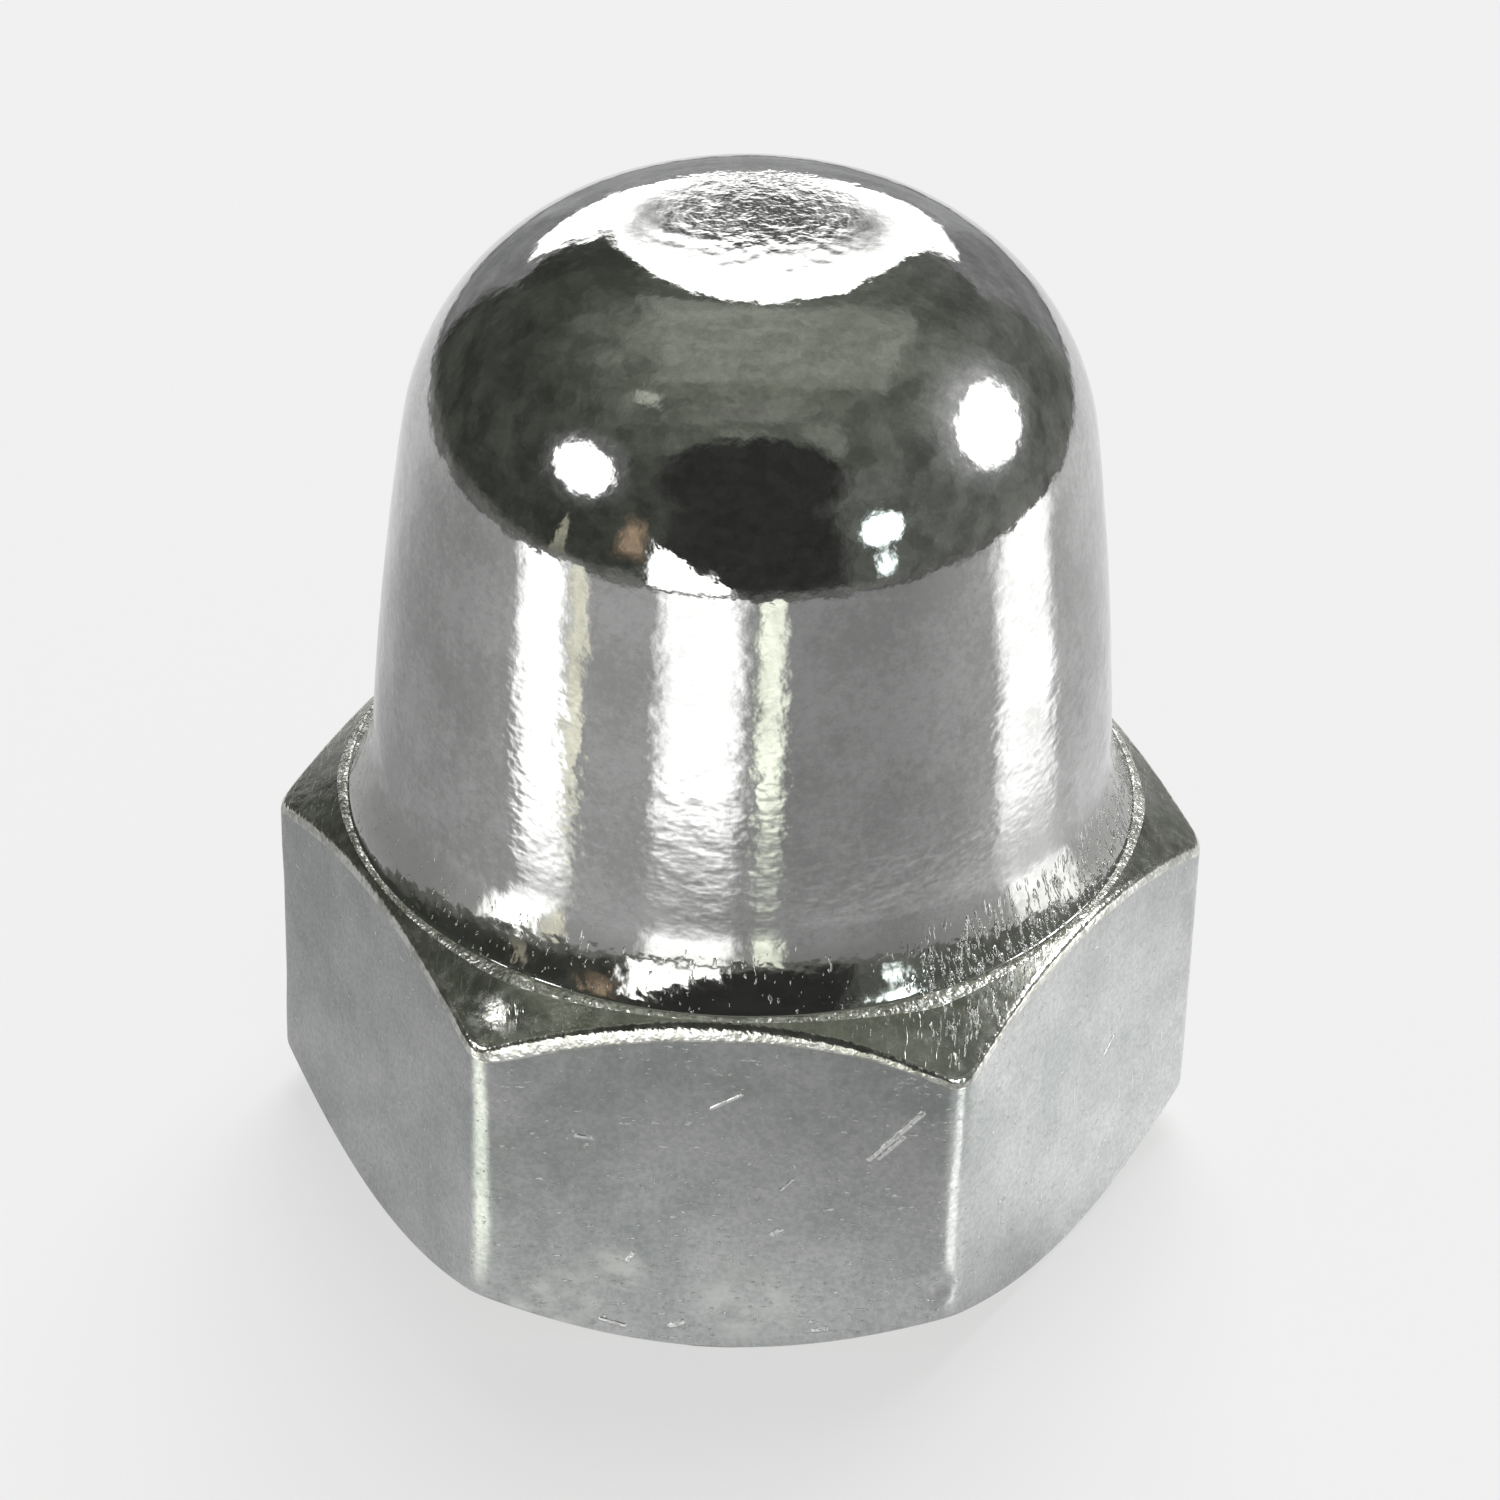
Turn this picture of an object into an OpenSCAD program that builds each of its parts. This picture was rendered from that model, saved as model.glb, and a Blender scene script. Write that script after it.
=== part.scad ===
// Domed hexagon cap nut for an M5 thread, made in one piece: a hexagon, a tall crown and a blind hole.
// The origin is the centre of the bearing face, +Z runs up the axis, and one flat faces -Y.

/* [Hexagon] */
// Width across the flats
across_flats = 7.85; // [7.4:0.05:9]
// Height of the hexagon, from the bearing face to its top ring
hex_height = 3.85; // [3:0.02:5]
// Radius of the six upright edges
edge_radius = 0.3; // [0.1:0.05:0.8]
// How far the top ring lies inside the flats
top_inset = 0.07; // [0.02:0.01:0.08]
// Slope of the top chamfer, in degrees from level
top_slope = 35.5; // [20:0.5:45]
// How far the edge of the bearing face lies inside the flats
bearing_inset = 0.05; // [0.02:0.01:0.4]
// Slope of the bottom chamfer, in degrees from level
bottom_slope = 40; // [20:1:50]

/* [Crown] */
// Height of the whole nut
nut_height = 10; // [9:0.1:13]
// Diameter of the crown's wall, level with the top of the hexagon
crown_d = 7.25; // [6.4:0.05:7.35]
// Inward lean of the crown's wall, in degrees
crown_lean = 5.3; // [1:0.1:8]
// Radius of the shoulder between the wall and the top
shoulder_radius = 2.4; // [1:0.05:2.6]
// Radius of the flattened top
top_radius = 10.5; // [6:0.5:25]
// Radius of the hollow at the foot of the crown
foot_radius = 2.1; // [0.5:0.05:3]
// How far the foot spreads beyond the crown's wall
foot_spread = 0.17; // [0.05:0.01:0.2]

/* [Hole] */
// Diameter of the hole, which is the thread's minor diameter
minor_d = 4.134; // [3.2:0.002:4.5]
// Diameter of the countersunk mouth
mouth_d = 5.4; // [4.6:0.05:6.6]
// Included angle of the countersink, in degrees
mouth_angle = 90; // [60:5:130]
// Included angle of the drilled point, in degrees
point_angle = 118; // [90:2:140]
// Thickness of the crown above the drilled point
roof = 1.55; // [1:0.05:3]

/* [Hidden] */
$fn = 144;

// How far a cutting or trimming shape runs past the surface that it trims
overrun = 1;
// How far an arc stands proud of the lines that it blends into, so that they cross cleanly
hair = 0.0005;

flat_r = across_flats / 2;
ring_r = flat_r - top_inset;
bearing_r = flat_r - bearing_inset;
// The chamfers' section reaches past the sharp corners of the hexagon
trim_r = flat_r / cos(30) + overrun;

// The crown's wall: its foot, its outward direction and its upward direction
wall = [crown_d / 2, hex_height];
wall_out = [cos(crown_lean), sin(crown_lean)];
wall_up = [-sin(crown_lean), cos(crown_lean)];

function polar(r, angle) = r * [cos(angle), sin(angle)];
// The upper of the two points that lie on the line through p along the unit vector u, and r away from c
function on_line(p, u, c, r) =
    let (along = (p - c) * u)
    p + u * (sqrt(pow(along, 2) + pow(r, 2) - (p - c) * (p - c)) - along);

// Centres of the crown's arcs, and the points where the shoulder meets the wall and the top
top_c = [0, nut_height - top_radius];
shoulder_c = on_line(wall - wall_out * shoulder_radius, wall_up, top_c, top_radius - shoulder_radius);
shoulder_foot = shoulder_c + wall_out * shoulder_radius;
shoulder_head = top_c + polar(top_radius, atan2(shoulder_c.y - top_c.y, shoulder_c.x));
// The hollow at the foot touches the wall above and ends at this edge on the hexagon's top
foot_edge = wall + [foot_spread, 0];
foot_c = on_line(wall + wall_out * foot_radius, wall_up, foot_edge, foot_radius);
foot_head = foot_c - wall_out * foot_radius;

minor_r = minor_d / 2;
mouth_r = mouth_d / 2;
mouth_tan = tan(mouth_angle / 2);
mouth_depth = (mouth_r - minor_r) / mouth_tan;
point_z = nut_height - roof;
wall_end_z = point_z - minor_r / tan(point_angle / 2);

// Outline of the hexagon with its six corners rounded
module hex_outline() {
    centre_r = (flat_r - edge_radius) / cos(30);
    polygon([
        for (k = [0 : 5], turn = [-30, 30])
            polar(centre_r, 60 * k) + polar(edge_radius, 60 * k + turn)
    ]);
    for (k = [0 : 5])
        translate(polar(centre_r, 60 * k)) circle(edge_radius + hair);
}

// Half section of the turned solid that chamfers the hexagon at its bottom and top
module chamfer_section() {
    polygon([
        [0, 0],
        [bearing_r, 0],
        [trim_r, (trim_r - bearing_r) * tan(bottom_slope)],
        [trim_r, hex_height - (trim_r - ring_r) * tan(top_slope)],
        [ring_r, hex_height],
        [0, hex_height]
    ]);
}

module hexagon() {
    intersection() {
        linear_extrude(hex_height) hex_outline();
        rotate_extrude() chamfer_section();
    }
}

// Half section of the crown, which starts inside the hexagon
module crown_section() {
    base_z = hex_height / 2;
    // Leaning wall
    polygon([[0, base_z], [wall.x, base_z], wall, shoulder_foot, [0, shoulder_foot.y]]);
    // Hollow foot
    difference() {
        polygon([[0, base_z], [foot_edge.x, base_z], foot_edge, foot_head, [0, foot_head.y]]);
        translate(foot_c) circle(foot_radius + hair);
    }
    // Round shoulder
    intersection() {
        translate(shoulder_c) circle(shoulder_radius + hair);
        translate([0, base_z]) square([crown_d, nut_height]);
    }
    // Flattened top
    intersection() {
        translate(top_c) circle(top_radius);
        translate([0, shoulder_c.y]) square([shoulder_head.x, nut_height]);
    }
}

// Half section of the hole: countersunk mouth, wall at the thread's minor diameter, drilled point
module hole_section() {
    polygon([
        [0, -overrun],
        [mouth_r + overrun * mouth_tan, -overrun],
        [minor_r, mouth_depth],
        [minor_r, wall_end_z],
        [0, point_z]
    ]);
}

module cap_nut() {
    color([0.74, 0.75, 0.76])
    difference() {
        union() {
            hexagon();
            rotate_extrude() crown_section();
        }
        rotate_extrude() hole_section();
    }
}

cap_nut();
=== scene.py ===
"""Looks of a chrome-plated domed cap nut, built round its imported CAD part.

One closed mesh replaces the CAD node: the chamfered hexagon, the hollow foot, the crown with its
orange-peel ripple, and the threaded blind hole. The chrome mirrors a small dark light tent.
"""

import math

import bpy
from mathutils import Matrix, Vector, noise

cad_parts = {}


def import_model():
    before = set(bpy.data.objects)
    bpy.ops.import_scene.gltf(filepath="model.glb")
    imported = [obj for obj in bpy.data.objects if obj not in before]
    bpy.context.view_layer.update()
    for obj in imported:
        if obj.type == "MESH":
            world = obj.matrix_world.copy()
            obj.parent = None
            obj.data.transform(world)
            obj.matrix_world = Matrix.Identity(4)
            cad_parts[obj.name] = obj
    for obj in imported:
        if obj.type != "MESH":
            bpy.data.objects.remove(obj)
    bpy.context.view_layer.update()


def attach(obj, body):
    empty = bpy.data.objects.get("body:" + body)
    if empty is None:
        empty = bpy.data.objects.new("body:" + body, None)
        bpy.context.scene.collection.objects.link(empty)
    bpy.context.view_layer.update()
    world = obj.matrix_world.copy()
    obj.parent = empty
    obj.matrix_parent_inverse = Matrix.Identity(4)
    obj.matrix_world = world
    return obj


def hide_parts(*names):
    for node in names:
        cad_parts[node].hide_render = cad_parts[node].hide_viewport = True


MM = 0.001

# Hexagon, in millimetres: half the width across flats, its height, its edges and its slopes in degrees
FLAT_R = 3.925
HEX_HEIGHT = 3.865
CORNER_RADIUS = 0.3
TOP_SLOPE = 35.5
BEARING_R = 3.875
BOTTOM_SLOPE = 40
# Radius that rounds both edges of the bottom chamfer
LOW_ROUNDING = 0.09

# Worn top rim of the flats: arcs from the flat to the cone, each with its radius, last lean and steps
RIM_ARCS = ((0.08, 8, 2), (1.15, 13, 4))
EDGE_RADIUS = 0.12
EDGE_STEPS = 6
# Where the rim is worn widest, over the front flat: it widens between the first two angles and narrows
# between the last two. Elsewhere its arcs are this share as wide.
WIDE_RIM = (237, 245, 262, 296)
NARROW_RIM = 0.4
# How far below the rim the flat's last row lies, so that the rim starts sharply
RIM_STEP = 0.012

# Ring on top of the hexagon, round which the cone turns into the crease at the foot of the crown
RING_CENTRE_R = 3.8
RING_RADIUS = 0.1
RING_LEAN = 85
CREASE_RADIUS = 0.03
CREASE_LEAN = 29

# The corner to the right of the front flat is worn lower: its place, its reach and its extra slope
LOW_CORNER = 300
LOW_CORNER_REACH = 18
LOW_CORNER_SLOPE = 5.5

# Crown: its height, a point of its wall with the lean there, and the radii of its arcs
NUT_HEIGHT = 10
WALL_POINT = Vector((3.561, 4.45))
WALL_LEAN = 2.76
WALL_RADIUS = 38.6
SHOULDER_RADIUS = 2.39
TOP_RADIUS = 10.89
# How far the grain on top is sunk, so that the nut gets no taller
TOP_SETTLE = 0.005

# Threaded blind hole, M5 x 0.8
MINOR_R = 2.067
MAJOR_R = 2.5
PITCH = 0.8
MOUTH_R = 2.7
WALL_END_Z = 7.208
POINT_Z = 8.45
THREAD_START_Z = 0.04
THREAD_TOP_Z = 6.1
THREAD_FADE = 0.9
# Shares of the way from the thread's crest to its root where its flank starts and ends
FLANK = (0.25, 0.875)
# The mouth's softened edge: how far it lies outside the mouth's radius, and how high
MOUTH_EDGE = ((0.05, 0), (0.01, 0.006))
# Radii between which the outside's columns join the hole's fewer columns, on the bearing face
FACE_RING_R = 3.15
HOLE_RING_R = 2.9

# Scratches of the front and right flats, painted pale as glints: from place to place and half width, in
# millimetres
SCRATCHES = (
    ((1.41, -3.925, 2.38), (1.88, -3.925, 2.95), 0.034),
    ((1.5, -3.925, 2.4), (1.72, -3.925, 2.66), 0.026),
    ((-0.07, -3.925, 2.89), (0.21, -3.925, 3.06), 0.022),
    ((-1.31, -3.925, 2.5), (-1.17, -3.925, 2.48), 0.026),
    ((-0.82, -3.925, 1.04), (-0.77, -3.925, 1.13), 0.03),
    ((0.6, -3.925, 1.97), (0.71, -3.925, 2.1), 0.018),
    ((0.54, -3.925, 1.43), (0.6, -3.925, 1.49), 0.045),
    ((-0.4, -3.925, 0.28), (-0.3, -3.925, 0.32), 0.045),
    ((0.95, -3.925, 0.3), (1.08, -3.925, 0.33), 0.035),
    ((-1.07, -3.925, 0.32), (-0.84, -3.925, 0.25), 0.03),
    ((3.63, -1.56, 1.96), (3.71, -1.43, 2.06), 0.035),
)

# Bright worn streak and patch low on the front flat: their places and half widths
STREAK = ((-1.66, -3.92, 0.42), (-0.95, -3.92, 0.9))
STREAK_WIDTH = 0.4
WORN_PATCH = (0.3, -3.92, 0.62)
# Places that are scratched on the cone and pitted on the crown's top
WORN_CONE = (2.46, -3.18, 3.73)
PITTED_TOP = (0.02, 0.42, 10)

# Worn lengths of the upright edges: angle round the axis, lowest and highest place, and depth
WORN_EDGES = ((240, 0.5, 3.2, 0.02), (300, 0.9, 2.6, 0.012), (180, 0.8, 3, 0.012), (60, 0.6, 2.4, 0.014))
WORN_REACH = 5
WORN_FADE = 0.6

# Knocks in the hexagon: place, radius and height in millimetres, below zero for a dent
KNOCKS = (
    (Vector((-1.97, -3.41, 3.77)), 0.48, 0.055),
    (Vector((2.13, -3.9, 0.87)), 0.19, -0.07),
    (Vector((0.56, -3.92, 1.38)), 0.13, -0.02),
    (Vector((4.35, -0.31, 2.9)), 0.11, -0.03),
)

# Waves of the plating, in millimetres: on the hexagon's sides, all over the crown, on its wall, on its
# low wall and on the middle of its top
SIDE_WAVE = 0.0015
BROAD_WAVE = 0.003
PEEL_WAVE = 0.0009
LOW_PEEL_WAVE = 0.0013
GRAIN_WAVE = 0.0045

# Mesh steps round the nut
CORNER_STEPS = 5
FLAT_STEPS = 46
COLUMNS_PER_HOLE_COLUMN = 3
# Mesh steps up the hexagon
FACE_STEPS = 4
BEARING_ROUND_STEPS = 3
CHAMFER_STEPS = 4
LOW_ROUND_STEPS = 4
SIDE_STEPS = 30
CONE_STEPS = 9
RING_STEPS = 6
# Mesh steps up the crown
CREASE_STEPS = 3
FOOT_STEPS = 18
WALL_STEPS = 46
SHOULDER_STEPS = 46
TOP_STEPS = 22
# Mesh steps up the hole
ROWS_PER_PITCH = 13
POINT_STEPS = 8

# Camera: direction from the nut, distance and offsets from the origin, in degrees and millimetres
CAMERA_AZIMUTH = 1.7
CAMERA_ELEVATION = 34.1
CAMERA_ROLL = 1.63
CAMERA_DISTANCE = 57.34
CAMERA_RIGHT = 0.179
CAMERA_UP = 3.509
SENSOR = 36
LENS = 136.58
CLIP_START = 1
CLIP_END = 2000

# Light tent, which only reflections see: its radius and centre, and the height of its ground
TENT_RADIUS = 46
TENT_CENTRE = Vector((0, 0, 8.5))
GROUND_Z = 0.05
# The bands on the tent's ground lie this high, or this high where they cross another, and are laid out
# for this height and lean of the crown's wall, out to this distance from its foot
STRIP_Z = 0.12
UPPER_STRIP_Z = 0.15
MIRROR_Z = 6.5
MIRROR_LEAN = 5
BAND_END = 41

# Background: its tone, the share of it that the floor shows, the floor's size in metres and the soft lamp
PALE = (0.895, 0.892, 0.892, 1)
PALE_SHARE = 0.7
FLOOR_SIZE = 1.2
AMBIENT = 0.35
SUN_ENERGY = 2.6
SUN_SPREAD = 40
SUN_AZIMUTH = 170
SUN_ELEVATION = 58

# Colours of the tent's lights and of its brown patch
WHITE = (1, 1, 1)
COOL = (1, 1, 1.02)
BLUISH = (0.9, 1, 1)
OLIVE = (1, 1.04, 0.9)
BROWN = (1, 0.74, 0.52)


def unit(degrees):
    """Unit vector in the (radius, height) plane at an angle above level."""
    return Vector((math.cos(math.radians(degrees)), math.sin(math.radians(degrees))))


def clamped(share):
    """A share held between 0 and 1."""
    return min(max(share, 0), 1)


def smooth(value, low, high):
    """0 below low, 1 above high, and a smooth step between them."""
    share = clamped((value - low) / (high - low))
    return share * share * (3 - 2 * share)


def arc(centre, radius, start, end, steps):
    """Points on an arc from one angle to another, both included."""
    return [centre + radius * unit(start + (end - start) * i / steps) for i in range(steps + 1)]


def line(start, end, steps):
    """Points along a line, without its ends."""
    return [start.lerp(end, i / steps) for i in range(1, steps)]


def rounded(before, corner, after, radius, steps):
    """Points of the arc that rounds a corner of an outline."""
    first = (before - corner).normalized()
    second = (after - corner).normalized()
    half = first.angle(second) / 2
    centre = corner + (first + second).normalized() * radius / math.sin(half)
    start = corner + first * radius / math.tan(half) - centre
    end = corner + second * radius / math.tan(half) - centre
    turn = start.angle(end)
    share = [i / steps for i in range(steps + 1)]
    return [
        centre + (start * math.sin((1 - s) * turn) + end * math.sin(s * turn)) / math.sin(turn)
        for s in share
    ]


# ---------------------------------------------------------------- outline of the nut


def edge_centre():
    """Distance from the axis to the centre of an upright edge's arc."""
    return (FLAT_R - CORNER_RADIUS) / math.cos(math.radians(30))


def flat_reach():
    """Angle round the axis from the middle of a flat to where its upright edge starts."""
    return math.degrees(math.atan2(edge_centre() * math.sin(math.radians(30)), FLAT_R))


def hexagon_radius(degrees):
    """Distance from the axis to the side of the hexagon with rounded upright edges."""
    turn = abs(degrees % 60 - 30)
    if turn <= flat_reach():
        return FLAT_R / math.cos(math.radians(turn))
    centre = edge_centre()
    off = math.radians(30 - turn)
    return centre * math.cos(off) + math.sqrt(CORNER_RADIUS**2 - (centre * math.sin(off)) ** 2)


def column_angles():
    """Angles of the mesh columns, close together at the six upright edges."""
    reach = flat_reach()
    edge = 30 - reach
    angles = []
    for side in range(6):
        start = 60 * side
        angles += [start + edge * i / CORNER_STEPS for i in range(CORNER_STEPS)]
        angles += [start + edge + 2 * reach * i / FLAT_STEPS for i in range(FLAT_STEPS)]
        angles += [start + 60 - edge + edge * i / CORNER_STEPS for i in range(CORNER_STEPS)]
    return angles


def ring_centre():
    """Centre of the ring's arc on top of the hexagon."""
    return Vector((RING_CENTRE_R, HEX_HEIGHT - RING_RADIUS))


def top_slope(degrees):
    """Slope of the cone on top of the hexagon, steeper at the worn corner."""
    worn = 1 - smooth(abs(degrees - LOW_CORNER), 0, LOW_CORNER_REACH)
    return TOP_SLOPE + LOW_CORNER_SLOPE * worn


def rim_wear(degrees):
    """How wide the worn rim is at an angle round the axis, as a share of its widest."""
    narrow_before, wide_from, wide_to, narrow_after = WIDE_RIM
    wide = smooth(degrees, narrow_before, wide_from) * (1 - smooth(degrees, wide_to, narrow_after))
    return NARROW_RIM + (1 - NARROW_RIM) * wide


def rim_points(degrees, side_r, slope, cone_end):
    """Worn rim from the flat to the cone, set so that the cone runs on from it to its end at the ring."""
    rim, last_lean = [Vector((0, 0))], 0
    wear = rim_wear(degrees)
    arcs = [(radius * wear, next_lean, steps) for radius, next_lean, steps in RIM_ARCS]
    for radius, next_lean, steps in (*arcs, (EDGE_RADIUS, 90 - slope, EDGE_STEPS)):
        rim += arc(rim[-1] - radius * unit(last_lean), radius, last_lean, next_lean, steps)[1:]
        last_lean = next_lean
    cone_r = side_r + rim[-1].x
    cone_z = cone_end.y - (cone_r - cone_end.x) * math.tan(math.radians(slope))
    return [p + Vector((side_r, cone_z - rim[-1].y)) for p in rim]


def hexagon_rows(degrees):
    """Section of the hexagon at an angle round the axis, from the bearing face up: (point, zone) rows."""
    side_r = hexagon_radius(degrees)
    slope = top_slope(degrees)
    inner = Vector((FACE_RING_R, 0))
    bearing = Vector((BEARING_R, 0))
    bottom = Vector((side_r, (side_r - BEARING_R) * math.tan(math.radians(BOTTOM_SLOPE))))
    above = Vector((side_r, HEX_HEIGHT))
    bearing_round = rounded(inner, bearing, bottom, LOW_ROUNDING, BEARING_ROUND_STEPS)
    bottom_round = rounded(bearing, bottom, above, LOW_ROUNDING, LOW_ROUND_STEPS)
    cone_end = ring_centre() + RING_RADIUS * unit(90 - slope)
    rim = rim_points(degrees, side_r, slope, cone_end)
    parts = (
        ("face", [inner]),
        ("face", line(inner, bearing_round[0], FACE_STEPS)),
        ("cone", bearing_round),
        ("cone", line(bearing_round[-1], bottom_round[0], CHAMFER_STEPS)),
        ("side", bottom_round),
        ("side", line(bottom_round[-1], rim[0], SIDE_STEPS)),
        ("side", [rim[0] - Vector((0, RIM_STEP))]),
        ("rim", rim),
        ("cone", line(rim[-1], cone_end, CONE_STEPS)),
        ("ring", arc(ring_centre(), RING_RADIUS, 90 - slope, RING_LEAN, RING_STEPS)),
    )
    return [(point, zone) for zone, points in parts for point in points]


def meeting(first, first_radius, second, second_radius):
    """The upper of the two points that lie these distances away from two centres."""
    apart = second - first
    along = (apart.length_squared + first_radius**2 - second_radius**2) / (2 * apart.length)
    towards = apart.normalized()
    aside = Vector((-towards.y, towards.x)) * math.sqrt(first_radius**2 - along**2)
    return first + towards * along + aside


def lean(offset):
    """Angle of an offset above level."""
    return math.degrees(math.atan2(offset.y, offset.x))


def crown_rows():
    """Section of the crown from the crease on top of the hexagon to the middle of the top."""
    crease = ring_centre() + (RING_RADIUS + CREASE_RADIUS) * unit(RING_LEAN)
    foot_start = crease - CREASE_RADIUS * unit(CREASE_LEAN)
    wall = WALL_POINT - WALL_RADIUS * unit(WALL_LEAN)
    reach = foot_start - wall
    spare = 2 * (WALL_RADIUS - reach.dot(unit(CREASE_LEAN)))
    foot_radius = (reach.length_squared - WALL_RADIUS**2) / spare
    foot = foot_start + foot_radius * unit(CREASE_LEAN)
    top = Vector((0, NUT_HEIGHT - TOP_RADIUS))
    shoulder = meeting(wall, WALL_RADIUS - SHOULDER_RADIUS, top, TOP_RADIUS - SHOULDER_RADIUS)
    wall_low, wall_high = lean(foot - wall), lean(shoulder - wall)
    head = lean(shoulder - top)
    points = arc(crease, CREASE_RADIUS, 180 + RING_LEAN, 180 + CREASE_LEAN, CREASE_STEPS)[1:]
    points += arc(foot, foot_radius, 180 + CREASE_LEAN, 180 + wall_low, FOOT_STEPS)[1:]
    points += arc(wall, WALL_RADIUS, wall_low, wall_high, WALL_STEPS)[1:]
    points += arc(shoulder, SHOULDER_RADIUS, wall_high, head, SHOULDER_STEPS)[1:]
    points += arc(top, TOP_RADIUS, head, 90, TOP_STEPS)[1:]
    return [(p, "crown") for p in points]


def thread_radius(degrees, z):
    """Radius of the right-hand thread's surface, cut by the countersink and fading out at its end."""
    phase = (z / PITCH - degrees / 360) % 1
    from_crest = abs(phase - 0.5) / 0.5
    crest_end, root_start = FLANK
    rise = clamped((from_crest - crest_end) / (root_start - crest_end))
    left = clamped((THREAD_TOP_Z + THREAD_FADE - z) / THREAD_FADE)
    depth = (MAJOR_R - MINOR_R) * rise * left
    return max(MINOR_R + depth, MOUTH_R - z)


def hole_rows(degrees):
    """Section of the hole from the bearing face down to the drill point."""
    rows = [Vector((HOLE_RING_R, 0))]
    rows += [Vector((MOUTH_R + outside, z)) for outside, z in MOUTH_EDGE]
    steps = round(WALL_END_Z / PITCH * ROWS_PER_PITCH)
    for i in range(1, steps + 1):
        z = THREAD_START_Z + (WALL_END_Z - THREAD_START_Z) * i / steps
        rows.append(Vector((thread_radius(degrees, z), z)))
    rows += line(Vector((MINOR_R, WALL_END_Z)), Vector((0, POINT_Z)), POINT_STEPS)
    return rows


# ---------------------------------------------------------------- relief of the surface


def waves(point, across, up, shift=0):
    """Noise of so many waves a millimetre across and up; a shift picks another part of its pattern."""
    return noise.noise(Vector((point.x * across, point.y * across, point.z * up + shift)))


def crown_relief(point):
    """Orange peel of the plated crown, in millimetres: long flat ripples on the wall, grain on the top."""
    wall = 1 - smooth(point.z, 7.2, 8.6)
    low_wall = smooth(point.z, 4.3, 5.2) * (1 - smooth(point.z, 6, 8))
    broad = waves(point, 0.9, 0.7)
    peel = waves(point, 3.2, 6.5, 7)
    grain = waves(point, 9, 9, 3)
    around = math.hypot(point.x, point.y)
    pitted = (1 - smooth(around, 0.75, 1.15)) * smooth(point.z, 9, 9.5)
    height = BROAD_WAVE * broad + PEEL_WAVE * peel * (0.35 + wall) + LOW_PEEL_WAVE * peel * low_wall
    return height + GRAIN_WAVE * grain * pitted - TOP_SETTLE * smooth(point.z, 9.5, 9.9)


def hexagon_relief(point):
    """Knocks, worn edges and faint waves of the hexagon's sides, which stay inside the CAD's flats."""
    height = SIDE_WAVE * (noise.noise(point * 1.3) - 1)
    azimuth = math.degrees(math.atan2(point.y, point.x)) % 360
    for edge, low, high, depth in WORN_EDGES:
        along = smooth(point.z, low, low + WORN_FADE) * (1 - smooth(point.z, high - WORN_FADE, high))
        height -= depth * along * (1 - smooth(abs(azimuth - edge), 0, WORN_REACH))
    for place, radius, rise in KNOCKS:
        share = (point - place).length / radius
        if share < 1:
            height += rise * (1 - share**2) ** 2
    return height


# ---------------------------------------------------------------- mesh


def outward(below, above, radial):
    """Direction out of the surface of a section at a place between two of its points."""
    along = (above - below).normalized()
    return radial * along.y - Vector((0, 0, along.x))


def outside_place(column, row, degrees):
    """A place of the outside with its relief, in millimetres, from a section's (point, zone) rows."""
    point, zone = column[row]
    radial = Vector((math.cos(math.radians(degrees)), math.sin(math.radians(degrees)), 0))
    place = radial * point.x + Vector((0, 0, point.y))
    if zone == "face":
        return place
    above = column[min(row + 1, len(column) - 1)][0]
    relief = crown_relief(place) if zone == "crown" else hexagon_relief(place)
    return place + outward(column[row - 1][0], above, radial) * relief


def add_outside(vertices, faces, zones, angles):
    """Adds the hexagon and the crown, from the bearing face up to the middle of the top."""
    count = len(angles)
    crown = crown_rows()
    columns = [hexagon_rows(degrees) + crown[:-1] for degrees in angles]
    depth = len(columns[0])
    for row in range(depth):
        for column, degrees in zip(columns, angles):
            vertices.append(outside_place(column, row, degrees) * MM)
    for row in range(depth - 1):
        zone = columns[0][row + 1][1] if row else "face"
        low, high = row * count, (row + 1) * count
        for column in range(count):
            following = (column + 1) % count
            faces.append((low + column, low + following, high + following, high + column))
            zones.append(zone)
    pole = Vector((0, 0, NUT_HEIGHT))
    vertices.append((pole + Vector((0, 0, crown_relief(pole)))) * MM)
    top = (depth - 1) * count
    for column in range(count):
        faces.append((top + column, top + (column + 1) % count, len(vertices) - 1))
        zones.append("crown")


def add_hole(vertices, faces, zones, angles):
    """Adds the threaded hole, with one column for every few columns of the outside.

    A ring of wider faces on the bearing face joins its columns to those of the outside.
    """
    step = COLUMNS_PER_HOLE_COLUMN
    hole_angles = angles[::step]
    count = len(hole_angles)
    first = len(vertices)
    columns = [hole_rows(degrees) for degrees in hole_angles]
    depth = len(columns[0])
    for row in range(depth):
        for degrees, column in zip(hole_angles, columns):
            turn = math.radians(degrees)
            r, z = column[row]
            vertices.append(Vector((r * math.cos(turn), r * math.sin(turn), z)) * MM)
    for column in range(count):
        following = (column + 1) % count
        outer = [(column * step + i) % len(angles) for i in range(step + 1)]
        faces.append((first + following, *reversed(outer), first + column))
        zones.append("face")
    for row in range(depth - 1):
        low, high = first + row * count, first + (row + 1) * count
        for column in range(count):
            following = (column + 1) % count
            faces.append((low + column, high + column, high + following, low + following))
            zones.append("face" if row < len(MOUTH_EDGE) else "hole")
    vertices.append(Vector((0, 0, POINT_Z)) * MM)
    end = first + (depth - 1) * count
    for column in range(count):
        faces.append((end + (column + 1) % count, end + column, len(vertices) - 1))
        zones.append("hole")


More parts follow.
